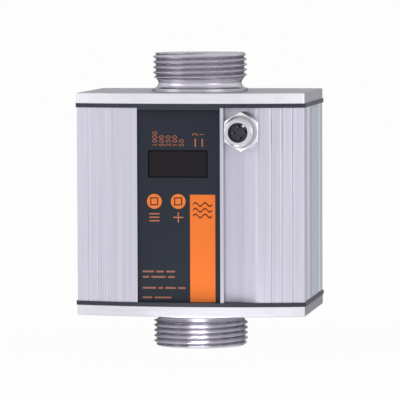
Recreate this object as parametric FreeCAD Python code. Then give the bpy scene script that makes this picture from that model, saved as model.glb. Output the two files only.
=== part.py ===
import FreeCAD, Part
import math
import os

# Ultrasonic flow meter: an extruded housing around a straight measuring tube with a pipe thread at each end.
# Millimetres. +Z runs along the tube and the display side faces -Y.
# Pieces are drawn about the middle of the housing, then moved to put the tube's mid-length at the origin.

V = FreeCAD.Vector
UP = V(0, 0, 1)
BACK = V(0, 1, 0)
ORIGIN = V(0, 0, 0)

# Measuring tube, parallel pipe thread G 1 1/4 A, plain at its outer diameter
bore_radius = 16.0
bore_chamfer = 0.5
tube_wall = 2.5
thread_radius = 20.955
thread_length = 11.0
thread_chamfer = 1.35
undercut_radius = 2.4
collar_radius = 21.2
upper_standout = 1.25
lower_standout = -0.45
flange_radius = 24.0
flange_thickness = 4.0

# Housing profile
housing_width = 100.5
front_depth = 30.0
face_rise = 7.0
back_depth = 37.5
housing_length = 85.0
housing_wall = 2.5
corner_radius = 0.8
groove_inset = 5.1
groove_pitch = 4.56
groove_count = 3
groove_width = 1.0
groove_depth = 0.3
side_groove_front = 14.4
side_groove_back = 12.7
side_groove_width = 5.6
side_groove_depths = (1.0, 0.6)

# Panel recess, rib and scoop, drawn from the crown of the front face
recess_left = -22.6
recess_width = 36.65
recess_depth = 4.5
rib_width = 1.5
scoop_width = 14.8
scoop_depth = 7.8
scoop_sag = 1.15
scoop_blend = 4.0

# Gaskets and end covers
gasket_thickness = 1.8
gasket_proud = 0.55
gasket_lip = 0.9
cover_thickness = 4.5
cover_proud = 0.1
cover_chamfer = 0.3
cover_fit = 0.05
tube_seal_section = 1.6
tube_seal_groove_play = 0.3

# Cover screws, M4 countersunk
screw_radius = 2.0
screw_length = 12.0
screw_head_radius = 3.9
screw_head_rim = 0.3
screw_socket_af = 2.5
screw_socket_depth = 1.4
screw_boss_radius = 4.2
screw_inset_x = 6.3
screw_inset_y = 5.4
screw_hole_fit = 0.05
screw_pass_fit = 0.2

# Front panel, window and keys
panel_thickness = 1.7
panel_gap = 0.15
window_inset = 17.75
window_drop = 24.5
window_width = 26.35
window_height = 12.0
window_flange = 1.5
window_flange_thickness = 0.8
window_gap = 0.1
key_inset = 7.35
key_pitch = 10.55
key_drop = 40.85
key_radius = 3.3
key_fit = 0.1
key_proud = 0.3
key_travel = 0.5
key_flange_radius = 4.1
key_flange_thickness = 0.6
key_stem_radius = 1.5
key_clear = 0.3
key_edge = 0.25

# Electronics
board_thickness = 1.6
board_plug_gap = 0.8
board_end_gap = 0.2
board_slot_fit = 0.1
board_notch_margin = 1.5
guide_lip = 2.4
guide_wall = 2.0
guide_lip_thickness = 1.5
guide_locknut_gap = 0.4
display_width = 25.6
display_height = 11.2
display_clear = 0.3
switch_size = 6.0
switch_height = 3.2
switch_well_depth = 2.4
plunger_radius = 1.6
plunger_fit = 0.05
processor_size = 12.0
processor_height = 1.6
processor_x = -17.0
processor_z = -20.0
inductor_radius = 4.5
inductor_height = 3.6
inductor_x = 3.0
inductor_z = -22.0

# Plug connector, M12 with a hexagon foot
connector_drop = 10.35
hex_af = 14.8
hex_height = 6.9
hex_gap = 0.15
hex_edge = 2.2
shell_radius = 6.0
shell_length = 10.0
shell_chamfer = 0.6
shell_bore_radius = 4.25
spigot_length = 4.2
spigot_fit = 0.2
locknut_thickness = 1.9
locknut_fit = 0.05
insert_fit = 0.05
insert_recess = 7.0
pin_radius = 0.5
pin_circle_radius = 2.5
pin_standout = 6.0
pin_tail = 1.0
pin_chamfer = 0.2
pin_hole_fit = 0.1
key_rib_angle = 40.0
key_rib_width = 1.3
key_rib_height = 0.9
foot_seal_section = 0.7
foot_seal_radius = 6.5

# Transducers strapped to a milled flat at the back of the tube
flat_depth = 0.9
flat_half_length = 34.0
wedge_width = 11.0
wedge_inner_z = 8.0
wedge_length = 22.0
wedge_height = 10.0
wedge_heel = 2.0
wedge_ledge = 6.0
piezo_radius = 5.0
piezo_thickness = 1.5
piezo_seat = 0.8
strap_thickness = 0.6
strap_width = 5.0
sensor_width = 8.0
sensor_length = 10.0
sensor_height = 3.0

# Type plate on the right side
plate_width = 27.5
plate_length = 83.5
plate_thickness = 0.2
plate_y = 8.0

# Derived places
half_length = housing_length / 2
cover_inner_z = half_length + gasket_thickness
cover_outer_z = cover_inner_z + cover_thickness
tube_radius = bore_radius + tube_wall
tube_middle_z = (upper_standout - lower_standout) / 2
cover_hole_radius = collar_radius + cover_fit
crown_y = -(front_depth + face_rise)
face_radius = ((housing_width / 2) ** 2 + face_rise ** 2) / (2 * face_rise)
recess_right = recess_left + recess_width
seat_y = crown_y + recess_depth
web_y = seat_y + housing_wall
panel_front_y = seat_y - panel_thickness
scoop_left = recess_right + rib_width
scoop_right = scoop_left + scoop_width
scoop_floor_y = crown_y + scoop_depth
scoop_web_y = scoop_floor_y + housing_wall
connector_x = scoop_left + hex_gap + hex_af / 2
connector_z = half_length - connector_drop
hex_front_y = scoop_floor_y - hex_height
shell_front_y = hex_front_y - shell_length
spigot_end_y = scoop_floor_y + spigot_length
board_front_y = spigot_end_y + board_plug_gap
board_back_y = board_front_y + board_thickness
flat_y = tube_radius - flat_depth
board_half = connector_x + hex_af / 2 + guide_locknut_gap + guide_lip
window_x = recess_left + window_inset
window_z = half_length - window_drop
key_z = half_length - key_drop
key_places = [recess_left + key_inset + k * key_pitch for k in range(2)]
screw_x = housing_width / 2 - screw_inset_x
screw_rows = (screw_inset_y - front_depth, back_depth - screw_inset_y)
screw_places = [(side * screw_x, y) for side in (-1, 1) for y in screw_rows]


def front_y(x):
    """Y of the curved front face at x."""
    return crown_y + face_radius - math.sqrt(face_radius ** 2 - x ** 2)


def slab(grow, low, high, corner):
    """The housing outline grown by a margin, drawn up from low to high, with rounded uprights."""
    half_w = housing_width / 2 + grow
    front = -(front_depth + grow)
    back = back_depth + grow
    a = V(-half_w, front, low)
    b = V(half_w, front, low)
    c = V(half_w, back, low)
    d = V(-half_w, back, low)
    edges = [
        Part.Arc(a, V(0, front - face_rise, low), b).toShape(),
        Part.makeLine(b, c),
        Part.makeLine(c, d),
        Part.makeLine(d, a),
    ]
    solid = Part.Face(Part.Wire(edges)).extrude(V(0, 0, high - low))
    uprights = [e for e in solid.Edges if e.BoundBox.ZLength > (high - low) / 2]
    return solid.makeFillet(corner, uprights)


def prism(points, low, high):
    """A column with the given XY outline from low to high."""
    corners = [V(x, y, low) for x, y in points]
    return Part.Face(Part.makePolygon(corners + corners[:1])).extrude(V(0, 0, high - low))


def block(x0, x1, y0, y1, z0, z1):
    """A box between two corners."""
    return Part.makeBox(x1 - x0, y1 - y0, z1 - z0, V(x0, y0, z0))


def plate(width, height, x, z, y0, y1):
    """A box centred on x and z that runs from y0 to y1."""
    return block(x - width / 2, x + width / 2, y0, y1, z - height / 2, z + height / 2)


def rod(radius, y0, y1, x, z):
    """A cylinder along Y from y0 to y1."""
    return Part.makeCylinder(radius, y1 - y0, V(x, y0, z), BACK)


def column(radius, low, high, x, y):
    """A cylinder along Z from low to high."""
    return Part.makeCylinder(radius, high - low, V(x, y, low), UP)


def hexagon(af, y0, y1, x, z):
    """A hexagonal bar along Y with its corners up and down."""
    reach = af / math.sqrt(3)
    corners = [V(x + reach * math.sin(math.radians(60 * k)), y0, z + reach * math.cos(math.radians(60 * k)))
               for k in range(7)]
    return Part.Face(Part.makePolygon(corners)).extrude(V(0, y1 - y0, 0))


def below(shape):
    """The mirror image below the middle of the tube."""
    return shape.mirror(ORIGIN, UP)


def hollow(low, high):
    """The room inside the housing: wall offset, panel web, scoop web and screw channels."""
    room = slab(-housing_wall, low, high, corner_radius)
    outside = 2 * crown_y
    panel_web = block(recess_left - housing_wall, recess_right, outside, web_y, low, high)
    flat_end = connector_x + hex_af / math.sqrt(3)
    scoop_web = prism([
        (recess_right - housing_wall, outside),
        (recess_right - housing_wall, scoop_web_y),
        (flat_end, scoop_web_y),
        (scoop_right + 2 * housing_wall, front_y(scoop_right)),
        (scoop_right + 2 * housing_wall, outside),
    ], low, high)
    bosses = [column(screw_boss_radius, low, high, x, y) for x, y in screw_places]
    return room.cut([panel_web, scoop_web] + bosses).removeSplitter()


def board_guides():
    """A pair of slotted ribs behind the front face that take the edges of the board."""
    inner_x = board_half + board_slot_fit
    slot_front = board_front_y - board_slot_fit
    slot_back = board_back_y + board_slot_fit
    outline = [
        (inner_x + guide_wall, crown_y),
        (inner_x + guide_wall, slot_back + guide_lip_thickness),
        (inner_x - guide_lip, slot_back + guide_lip_thickness),
        (inner_x - guide_lip, slot_back),
        (inner_x, slot_back),
        (inner_x, slot_front),
        (inner_x - guide_lip, slot_front),
        (inner_x - guide_lip, slot_front - guide_lip_thickness),
        (inner_x, slot_front - guide_lip_thickness),
        (inner_x, crown_y),
    ]
    right = prism(outline, -half_length, half_length)
    left = right.mirror(ORIGIN, V(1, 0, 0))
    inside = slab(-housing_wall / 2, -half_length, half_length, corner_radius)
    return [right.common(inside), left.common(inside)]


def face_grooves():
    """V grooves along the front face on both flanks."""
    over = groove_depth / 2
    half = groove_width / 2 * (groove_depth + over) / groove_depth
    cutters = []
    for k in range(groove_count):
        x = housing_width / 2 - groove_inset - k * groove_pitch
        y = front_y(x)
        outline = [(x - half, y - over), (x + half, y - over), (x, y + groove_depth)]
        vee = prism(outline, -half_length, half_length)
        cutters += [vee, vee.mirror(ORIGIN, V(1, 0, 0))]
    return cutters


def side_grooves():
    """Shallow channels with sloping walls that frame the type plate field on each side."""
    x = housing_width / 2
    cutters = []
    half = side_groove_width / 2
    for y, depth in zip((side_groove_front - front_depth, back_depth - side_groove_back), side_groove_depths):
        channel = prism([
            (x, y - half),
            (x - depth, y - half + depth),
            (x - depth, y + half - depth),
            (x, y + half),
        ], -half_length, half_length)
        cutters += [channel, channel.mirror(ORIGIN, V(1, 0, 0))]
    return cutters


def scoop():
    """The concave recess beside the panel: deepest at the rib, running out on the front face."""
    start = V(scoop_left, scoop_floor_y, -half_length)
    stop = V(scoop_right, front_y(scoop_right), -half_length)
    middle = (start + stop) * 0.5 + V(0, scoop_sag, 0)
    out_right = V(scoop_right, 2 * crown_y, -half_length)
    out_left = V(scoop_left, 2 * crown_y, -half_length)
    wire = Part.Wire([
        Part.Arc(start, middle, stop).toShape(),
        Part.makeLine(stop, out_right),
        Part.makeLine(out_right, out_left),
        Part.makeLine(out_left, start),
    ])
    return Part.Face(wire).extrude(V(0, 0, housing_length))


def make_housing():
    """The extruded housing with its machined openings."""
    body = slab(0, -half_length, half_length, corner_radius).cut(scoop())
    uprights = [e for e in body.Edges if e.BoundBox.ZLength > half_length]
    run_out = min(uprights, key=lambda e: abs(e.CenterOfMass.x - scoop_right))
    body = body.makeFillet(scoop_blend, [run_out]).cut(hollow(-half_length, half_length))
    body = body.fuse(board_guides()).removeSplitter()
    outside = 2 * crown_y
    cutters = face_grooves() + side_grooves()
    cutters.append(block(recess_left, recess_right, outside, seat_y, -half_length, half_length))
    cutters.append(hexagon(hex_af + 2 * hex_gap, outside, scoop_floor_y, connector_x, connector_z))
    cutters.append(rod(shell_radius + spigot_fit, scoop_floor_y, scoop_web_y, connector_x, connector_z))
    cutters.append(plate(display_width + 2 * display_clear, display_height + 2 * display_clear,
                         window_x, window_z, seat_y, web_y))
    flange_room = key_flange_thickness + key_travel + 2 * key_clear
    for x in key_places:
        cutters.append(rod(key_flange_radius + key_clear, seat_y, seat_y + flange_room, x, key_z))
        cutters.append(rod(key_stem_radius + key_clear, seat_y, web_y, x, key_z))
    for x, y in screw_places:
        cutters.append(column(screw_radius + screw_hole_fit, -half_length, half_length, x, y))
    return body.cut(cutters).removeSplitter()


def make_tube_half(standout):
    """The upper half of the tube, with its collar standing out of the cover face by standout."""
    seal_floor = cover_hole_radius - tube_seal_section
    seal_half = (tube_seal_section + tube_seal_groove_play) / 2
    seal_z = (cover_inner_z + cover_outer_z) / 2
    collar_end_z = cover_outer_z + standout
    valley_z = collar_end_z + undercut_radius
    end_z = valley_z + undercut_radius + thread_length
    inner = [
        V(bore_radius, 0, 0),
        V(tube_radius, 0, 0),
        V(tube_radius, 0, cover_inner_z - flange_thickness),
        V(flange_radius, 0, cover_inner_z - flange_thickness),
        V(flange_radius, 0, cover_inner_z),
        V(collar_radius, 0, cover_inner_z),
        V(collar_radius, 0, seal_z - seal_half),
        V(seal_floor, 0, seal_z - seal_half),
        V(seal_floor, 0, seal_z + seal_half),
        V(collar_radius, 0, seal_z + seal_half),
        V(collar_radius, 0, collar_end_z),
        V(thread_radius, 0, collar_end_z),
    ]
    outer = [
        V(thread_radius, 0, valley_z + undercut_radius),
        V(thread_radius, 0, end_z - thread_chamfer),
        V(thread_radius - thread_chamfer, 0, end_z),
        V(bore_radius + bore_chamfer, 0, end_z),
        V(bore_radius, 0, end_z - bore_chamfer),
        V(bore_radius, 0, 0),
    ]
    valley = V(thread_radius - undercut_radius, 0, valley_z)
    edges = Part.makePolygon(inner).Edges
    edges.append(Part.Arc(inner[-1], valley, outer[0]).toShape())
    edges += Part.makePolygon(outer).Edges
    return Part.Face(Part.Wire(edges)).revolve(ORIGIN, UP, 360)


def make_tube():
    """The turned measuring tube with bore, flanges, seal grooves, undercuts and threaded ends."""
    tube = make_tube_half(upper_standout).fuse(below(make_tube_half(lower_standout))).removeSplitter()
    flat = block(-tube_radius, tube_radius, flat_y, tube_radius + 1, -flat_half_length, flat_half_length)
    return tube.cut(flat)


def make_gasket(lip):
    """The upper gasket frame. The lip fills the end of the panel recess."""
    ring = slab(gasket_proud, half_length, cover_inner_z, corner_radius + gasket_proud)
    if lip:
        tab = block(recess_left + panel_gap, recess_right - panel_gap, 2 * crown_y, seat_y - panel_gap,
                    half_length - gasket_lip, half_length)
        ring = ring.fuse(tab.common(slab(gasket_proud, half_length - gasket_lip, half_length,
                                         corner_radius + gasket_proud)))
    ring = ring.cut(hollow(half_length, cover_inner_z))
    holes = [column(screw_radius + screw_pass_fit, half_length, cover_inner_z, x, y) for x, y in screw_places]
    return ring.cut(holes).removeSplitter()


def countersink(margin):
    """A screw head's outline below the cover face at the origin, grown by a margin."""
    depth = screw_head_radius - screw_radius
    rim = column(screw_head_radius + margin, -screw_head_rim, 0, 0, 0)
    cone = Part.makeCone(screw_radius + margin, screw_head_radius + margin, depth,
                         V(0, 0, -screw_head_rim - depth), UP)
    return rim.fuse(cone)


def make_cover():
    """The upper end cover."""
    body = slab(cover_proud, cover_inner_z, cover_outer_z, corner_radius + cover_proud)
    rim = [e for e in body.Edges if e.BoundBox.ZMin > cover_outer_z - cover_chamfer]
    body = body.makeChamfer(cover_chamfer, rim)
    cutters = [column(cover_hole_radius, cover_inner_z, cover_outer_z, 0, 0)]
    for x, y in screw_places:
        cutters.append(column(screw_radius + screw_pass_fit, cover_inner_z, cover_outer_z, x, y))
        cutters.append(countersink(screw_hole_fit).translated(V(x, y, cover_outer_z)))
    return body.cut(cutters).removeSplitter()


def make_screws():
    """The four screws of the upper cover."""
    shank = column(screw_radius, -screw_length, 0, 0, 0)
    socket = hexagon(screw_socket_af, 0, screw_socket_depth, 0, 0)
    socket.rotate(ORIGIN, V(1, 0, 0), -90)
    screw = shank.fuse(countersink(0)).removeSplitter().cut(socket)
    return Part.makeCompound([screw.translated(V(x, y, cover_outer_z)) for x, y in screw_places])


def make_panel():
    """The front panel with the stepped window opening and the key holes."""
    low = -half_length + panel_gap
    high = half_length - gasket_lip - panel_gap
    body = block(recess_left + panel_gap, recess_right - panel_gap, panel_front_y, seat_y, low, high)
    cutters = [plate(window_width, window_height, window_x, window_z, panel_front_y, seat_y)]
    spread = 2 * window_flange
    cutters.append(plate(window_width + spread, window_height + spread, window_x, window_z,
                         seat_y - window_flange_thickness, seat_y))
    cutters += [rod(key_radius + key_fit, panel_front_y, seat_y, x, key_z) for x in key_places]
    return body.cut(cutters)


def make_window():
    """The display window, held by its flange between the panel and the housing."""
    glass = plate(window_width - 2 * window_gap, window_height - 2 * window_gap, window_x, window_z,
                  panel_front_y + window_gap, seat_y)
    spread = 2 * (window_flange - window_gap)
    flange = plate(window_width + spread, window_height + spread, window_x, window_z,
                   seat_y - window_flange_thickness + window_gap, seat_y)
    return glass.fuse(flange).removeSplitter()


def make_key(x):
    """A key cap with its retaining flange and stem."""
    front = panel_front_y - key_proud
    flange_front = seat_y + key_clear
    flange_back = flange_front + key_flange_thickness
    cap = rod(key_radius, front, flange_front, x, key_z)
    rim = [e for e in cap.Edges if e.BoundBox.YMax < front + key_edge]
    cap = cap.makeFillet(key_edge, rim)
    flange = rod(key_flange_radius, flange_front, flange_back, x, key_z)
    stem = rod(key_stem_radius, flange_back, plunger_front_y(), x, key_z)
    return cap.fuse([flange, stem]).removeSplitter()


def plunger_front_y():
    """Y where a switch plunger meets the stem of its key."""
    return board_front_y - switch_height - key_travel - 2 * key_clear


def make_switch(x):
    """A push switch body with a well for its plunger."""
    front = board_front_y - switch_height
    body = plate(switch_size, switch_size, x, key_z, front, board_front_y)
    return body.cut(rod(plunger_radius + plunger_fit, front, front + switch_well_depth, x, key_z))


def make_plunger(x):
    """A switch plunger with room below it for the travel."""
    well_floor = board_front_y - switch_height + switch_well_depth
    return rod(plunger_radius, plunger_front_y(), well_floor - key_travel - key_clear, x, key_z)


def pin_places():
    """X and Z of the plug pins, a quarter turn apart and half a step off the coding rib."""
    places = []
    for k in range(4):
        angle = math.radians(key_rib_angle + 45 + 90 * k)
        places.append((connector_x + pin_circle_radius * math.sin(angle),
                       connector_z + pin_circle_radius * math.cos(angle)))
    return places


def make_board():
    """The board between the covers, notched for the tube flanges and drilled for the plug pins."""
    end = cover_inner_z - board_end_gap
    body = plate(2 * board_half, 2 * end, 0, 0, board_front_y, board_back_y)
    notch_half = math.sqrt(flange_radius ** 2 - board_back_y ** 2) + board_notch_margin
    notch_z = cover_inner_z - flange_thickness - board_notch_margin
    cutters = [block(-notch_half, notch_half, board_front_y, board_back_y, notch_z, end)]
    cutters.append(below(cutters[0]))
    cutters += [rod(pin_radius + pin_hole_fit, board_front_y, board_back_y, x, z) for x, z in pin_places()]
    return body.cut(cutters)


def make_shell():
    """The plug shell: hexagon foot with a seal groove, front sleeve and rear spigot in one turned piece."""
    foot = hexagon(hex_af, hex_front_y, scoop_floor_y, connector_x, connector_z)
    reach = hex_af / math.sqrt(3)
    slope = (reach - hex_af / 2) * math.tan(math.radians(30)) + hex_edge / 2
    trim = rod(reach + 1, hex_front_y + slope, scoop_floor_y, connector_x, connector_z)
    nose = Part.makeCone(hex_af / 2 - hex_edge / 2, reach + hex_edge / 2, slope,
                         V(connector_x, hex_front_y, connector_z), BACK)
    foot = foot.common(trim.fuse(nose))
    sleeve = rod(shell_radius, shell_front_y, spigot_end_y, connector_x, connector_z)
    rim = [e for e in sleeve.Edges if e.BoundBox.YMax < shell_front_y + shell_chamfer]
    sleeve = sleeve.makeChamfer(shell_chamfer, rim)
    groove_front = scoop_floor_y - foot_seal_section
    groove_outer = foot_seal_radius + foot_seal_section / 2
    groove_inner = foot_seal_radius - foot_seal_section / 2
    groove = rod(groove_outer, groove_front, scoop_floor_y, connector_x, connector_z)
    groove = groove.cut(rod(groove_inner, groove_front, scoop_floor_y, connector_x, connector_z))
    core = rod(shell_bore_radius, shell_front_y, spigot_end_y, connector_x, connector_z)
    return foot.fuse(sleeve).removeSplitter().cut([groove, core])


def make_insert():
    """The contact carrier with its coding rib."""
    front = shell_front_y + insert_recess
    radius = shell_bore_radius - insert_fit
    body = rod(radius, front, spigot_end_y, connector_x, connector_z)
    rib = block(-key_rib_width / 2, key_rib_width / 2, front - pin_standout, front,
                radius - key_rib_height, radius).common(rod(radius, front - pin_standout, front, 0, 0))
    rib.rotate(ORIGIN, BACK, key_rib_angle)
    body = body.fuse(rib.translated(V(connector_x, 0, connector_z))).removeSplitter()
    return body.cut([rod(pin_radius, front, spigot_end_y, x, z) for x, z in pin_places()])


def make_pins():
    """The plug pins, from the mating side through the carrier into the board."""
    tip = shell_front_y + insert_recess - pin_standout
    pins = []
    for x, z in pin_places():
        pin = rod(pin_radius, tip, board_back_y + pin_tail, x, z)
        rim = [e for e in pin.Edges if e.BoundBox.YMax < tip + pin_chamfer]
        pins.append(pin.makeChamfer(pin_chamfer, rim))
    return Part.makeCompound(pins)


def make_locknut():
    """The nut that pulls the plug foot against the scoop from inside."""
    nut = hexagon(hex_af, scoop_web_y, scoop_web_y + locknut_thickness, connector_x, connector_z)
    return nut.cut(rod(shell_radius + locknut_fit, scoop_web_y, scoop_web_y + locknut_thickness,
                       connector_x, connector_z))


def wedge_slope():
    """Middle of the upper wedge's sloping face and its outward direction."""
    low = V(0, flat_y + wedge_height, wedge_inner_z + wedge_ledge)
    high = V(0, flat_y + wedge_heel, wedge_inner_z + wedge_length)
    run = high - low
    return (low + high) * 0.5, V(0, run.z, -run.y).normalize()


def make_wedge():
    """The upper coupling wedge with a seat for its disc and a ledge for the strap."""
    top = wedge_inner_z + wedge_length
    corners = [
        V(-wedge_width / 2, flat_y, wedge_inner_z),
        V(-wedge_width / 2, flat_y, top),
        V(-wedge_width / 2, flat_y + wedge_heel, top),
        V(-wedge_width / 2, flat_y + wedge_height, wedge_inner_z + wedge_ledge),
        V(-wedge_width / 2, flat_y + wedge_height, wedge_inner_z),
    ]
    body = Part.Face(Part.makePolygon(corners + corners[:1])).extrude(V(wedge_width, 0, 0))
    middle, outward = wedge_slope()
    return body.cut(Part.makeCylinder(piezo_radius, 2 * piezo_seat, middle - outward * piezo_seat, outward))


def make_piezo():
    """The upper piezo disc."""
    middle, outward = wedge_slope()
    return Part.makeCylinder(piezo_radius, piezo_thickness, middle - outward * piezo_seat, outward)


def strap_face(margin):
    """A loop drawn tight around the tube and the wedge ledge, grown by a margin."""
    low = wedge_inner_z + (wedge_ledge - strap_width) / 2
    radius = tube_radius + margin
    half = wedge_width / 2 + margin
    top = flat_y + wedge_height + margin
    angle = math.atan2(top, half) - math.acos(radius / math.hypot(half, top))
    right = V(radius * math.cos(angle), radius * math.sin(angle), low)
    left = V(-right.x, right.y, low)
    wire = Part.Wire([
        Part.Arc(left, V(0, -radius, low), right).toShape(),
        Part.makeLine(right, V(half, top, low)),
        Part.makeLine(V(half, top, low), V(-half, top, low)),
        Part.makeLine(V(-half, top, low), left),
    ])
    return Part.Face(wire)


def make_strap():
    """The upper strap that presses its wedge on the tube."""
    return strap_face(strap_thickness).cut(strap_face(0)).extrude(V(0, 0, strap_width))


def ring(radius, section, place, axis):
    """A round sealing ring."""
    return Part.makeTorus(radius, section / 2, place, axis)


tube_seal = ring(cover_hole_radius - tube_seal_section / 2, tube_seal_section,
                 V(0, 0, (cover_inner_z + cover_outer_z) / 2), UP)
foot_seal = ring(foot_seal_radius, foot_seal_section,
                 V(connector_x, scoop_floor_y - foot_seal_section / 2, connector_z), BACK)

nodes = {
    "measuring_tube": make_tube(),
    "upper_tube_seal": tube_seal,
    "lower_tube_seal": below(tube_seal),
    "housing_profile": make_housing(),
    "upper_gasket": make_gasket(True),
    "lower_gasket": below(make_gasket(False)),
    "top_cover": make_cover(),
    "bottom_cover": below(make_cover()),
    "top_screws": make_screws(),
    "bottom_screws": below(make_screws()),
    "front_panel": make_panel(),
    "display_window": make_window(),
    "mode_key": make_key(key_places[0]),
    "set_key": make_key(key_places[1]),
    "mode_switch": make_switch(key_places[0]),
    "set_switch": make_switch(key_places[1]),
    "mode_plunger": make_plunger(key_places[0]),
    "set_plunger": make_plunger(key_places[1]),
    "main_board": make_board(),
    "display_module": plate(display_width, display_height, window_x, window_z,
                            seat_y + display_clear, board_front_y),
    "processor": plate(processor_size, processor_size, processor_x, processor_z,
                       board_front_y - processor_height, board_front_y),
    "inductor": rod(inductor_radius, board_front_y - inductor_height, board_front_y, inductor_x, inductor_z),
    "plug_shell": make_shell(),
    "plug_insert": make_insert(),
    "plug_pins": make_pins(),
    "plug_seal": foot_seal,
    "plug_locknut": make_locknut(),
    "upper_wedge": make_wedge(),
    "lower_wedge": below(make_wedge()),
    "upper_piezo": make_piezo(),
    "lower_piezo": below(make_piezo()),
    "upper_strap": make_strap(),
    "lower_strap": below(make_strap()),
    "temperature_sensor": block(-sensor_width / 2, sensor_width / 2, flat_y, flat_y + sensor_height,
                                -sensor_length / 2, sensor_length / 2),
    "type_plate": block(housing_width / 2, housing_width / 2 + plate_thickness, plate_y - plate_width / 2,
                        plate_y + plate_width / 2, -plate_length / 2, plate_length / 2),
}

os.makedirs("parts", exist_ok=True)
for name, shape in nodes.items():
    shape.translated(V(0, 0, -tube_middle_z)).exportStep(f"parts/{name}.step")
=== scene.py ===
"""Looks of an in-line ultrasonic flow meter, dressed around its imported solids.

Lengths are metres. +Z runs along the measuring tube, the display side faces -Y, and the
origin is on the tube axis at mid-length.
"""

import logging
import math
from collections.abc import Callable, Iterator, Sequence
from contextlib import contextmanager
from dataclasses import dataclass, field
from enum import Enum

import bpy
from mathutils import Euler, Matrix, Vector


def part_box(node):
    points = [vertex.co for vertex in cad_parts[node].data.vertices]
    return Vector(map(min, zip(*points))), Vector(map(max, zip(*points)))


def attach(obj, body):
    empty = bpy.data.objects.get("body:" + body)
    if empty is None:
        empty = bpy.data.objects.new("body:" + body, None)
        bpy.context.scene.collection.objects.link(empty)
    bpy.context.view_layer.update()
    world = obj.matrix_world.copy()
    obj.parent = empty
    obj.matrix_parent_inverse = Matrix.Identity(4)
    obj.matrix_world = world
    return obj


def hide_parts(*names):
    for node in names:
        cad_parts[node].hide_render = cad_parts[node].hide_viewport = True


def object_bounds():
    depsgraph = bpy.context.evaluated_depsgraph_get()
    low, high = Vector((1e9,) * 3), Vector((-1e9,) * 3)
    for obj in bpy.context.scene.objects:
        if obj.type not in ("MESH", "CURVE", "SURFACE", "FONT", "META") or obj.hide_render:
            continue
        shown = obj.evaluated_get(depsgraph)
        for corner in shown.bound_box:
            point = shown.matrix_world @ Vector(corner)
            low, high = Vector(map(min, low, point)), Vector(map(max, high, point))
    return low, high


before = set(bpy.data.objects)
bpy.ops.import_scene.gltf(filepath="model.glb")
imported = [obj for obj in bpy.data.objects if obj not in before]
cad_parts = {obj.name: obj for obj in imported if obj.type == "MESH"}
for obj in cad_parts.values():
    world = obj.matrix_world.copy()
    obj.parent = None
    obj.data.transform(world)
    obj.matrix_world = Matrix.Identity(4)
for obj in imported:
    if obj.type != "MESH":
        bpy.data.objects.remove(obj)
CAD_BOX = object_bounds()

LOG = logging.getLogger("flow_meter")
METER = "meter"
MM = 0.001

# Points closer than MERGE become one, print is FILM thick, and cards lie at CARD_HEIGHT.
MERGE = 1e-7
FILM = 0.03 * MM
CARD_HEIGHT = -0.0645

FACING_FRONT = (math.pi / 2, 0.0, 0.0)
READING_UPWARDS = Matrix(((0, -1, 0), (0, 0, -1), (1, 0, 0))).to_euler()

Tone = tuple[int, int, int]
Place = tuple[float, float, float]
Ends = tuple[float, float]
Piece = bpy.types.Object
Socket = bpy.types.NodeSocket


# Finishes


class Lay(Enum):
    """Direction of the lines that the making left, as shares of the grain along X, Y and Z."""

    EVEN = (1.0, 1.0, 1.0)
    ALONG_X = (0.02, 1.0, 1.0)
    ALONG_Z = (1.0, 1.0, 0.012)
    AROUND_Y = (0.03, 1.0, 0.03)
    AROUND_Z = (0.03, 0.03, 1.0)


def linear(tone: Tone, share: float = 1.0) -> tuple[float, float, float, float]:
    """Turns an 8-bit display colour into the linear colour that a shader takes, by the sRGB curve.

    Args:
        tone: red, green and blue from 0 to 255.
        share: factor on the linear colour.

    Returns:
        Red, green, blue and alpha.
    """
    parts = [c / 255 for c in tone]
    spread = [c / 12.92 if c <= 0.04045 else ((c + 0.055) / 1.055) ** 2.4 for c in parts]
    red, green, blue = (min(1.0, c * share) for c in spread)
    return red, green, blue, 1.0


class Wiring:
    """The shader nodes of a material or of the world."""

    def __init__(self, tree: bpy.types.NodeTree) -> None:
        """Takes up a node tree."""
        self.tree = tree

    def add(self, kind: str, **sockets: object) -> bpy.types.Node:
        """Adds a node and sets its inputs.

        Args:
            kind: the node's type name.
            sockets: values by input name, with _ for a blank.

        Returns:
            The new node.
        """
        node = self.tree.nodes.new(kind)
        for key, value in sockets.items():
            node.inputs[key.replace("_", " ")].default_value = value
        return node

    def link(self, source: Socket, target: Socket) -> None:
        """Joins an output to an input."""
        self.tree.links.new(source, target)

    def remap(self, value: Socket, old: Ends, new: Ends) -> Socket:
        """Maps one range of numbers to another, which it doesn't leave.

        Args:
            value: the number.
            old: ends of the range that the number has.
            new: ends of the range that it gets.

        Returns:
            The new number.
        """
        node = self.add("ShaderNodeMapRange", From_Min=old[0], From_Max=old[1], To_Min=new[0], To_Max=new[1])
        self.link(value, node.inputs["Value"])
        return node.outputs["Result"]

    def reckon(self, operation: str, first: Socket, second: Socket) -> Socket:
        """Works out one number from two.

        Args:
            operation: name of the Math node's operation.
            first: the first number.
            second: the second number.

        Returns:
            The result.
        """
        node = self.add("ShaderNodeMath")
        node.operation = operation
        self.link(first, node.inputs[0])
        self.link(second, node.inputs[1])
        return node.outputs["Value"]

    def seen_directly(self) -> Socket:
        """Tells camera, glossy and transmission rays from the rest.

        Returns:
            One for those rays and zero for others.
        """
        path = self.add("ShaderNodeLightPath")
        found = path.outputs["Is Camera Ray"]
        for kind in ("Is Glossy Ray", "Is Transmission Ray"):
            found = self.reckon("MAXIMUM", found, path.outputs[kind])
        return found


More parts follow.
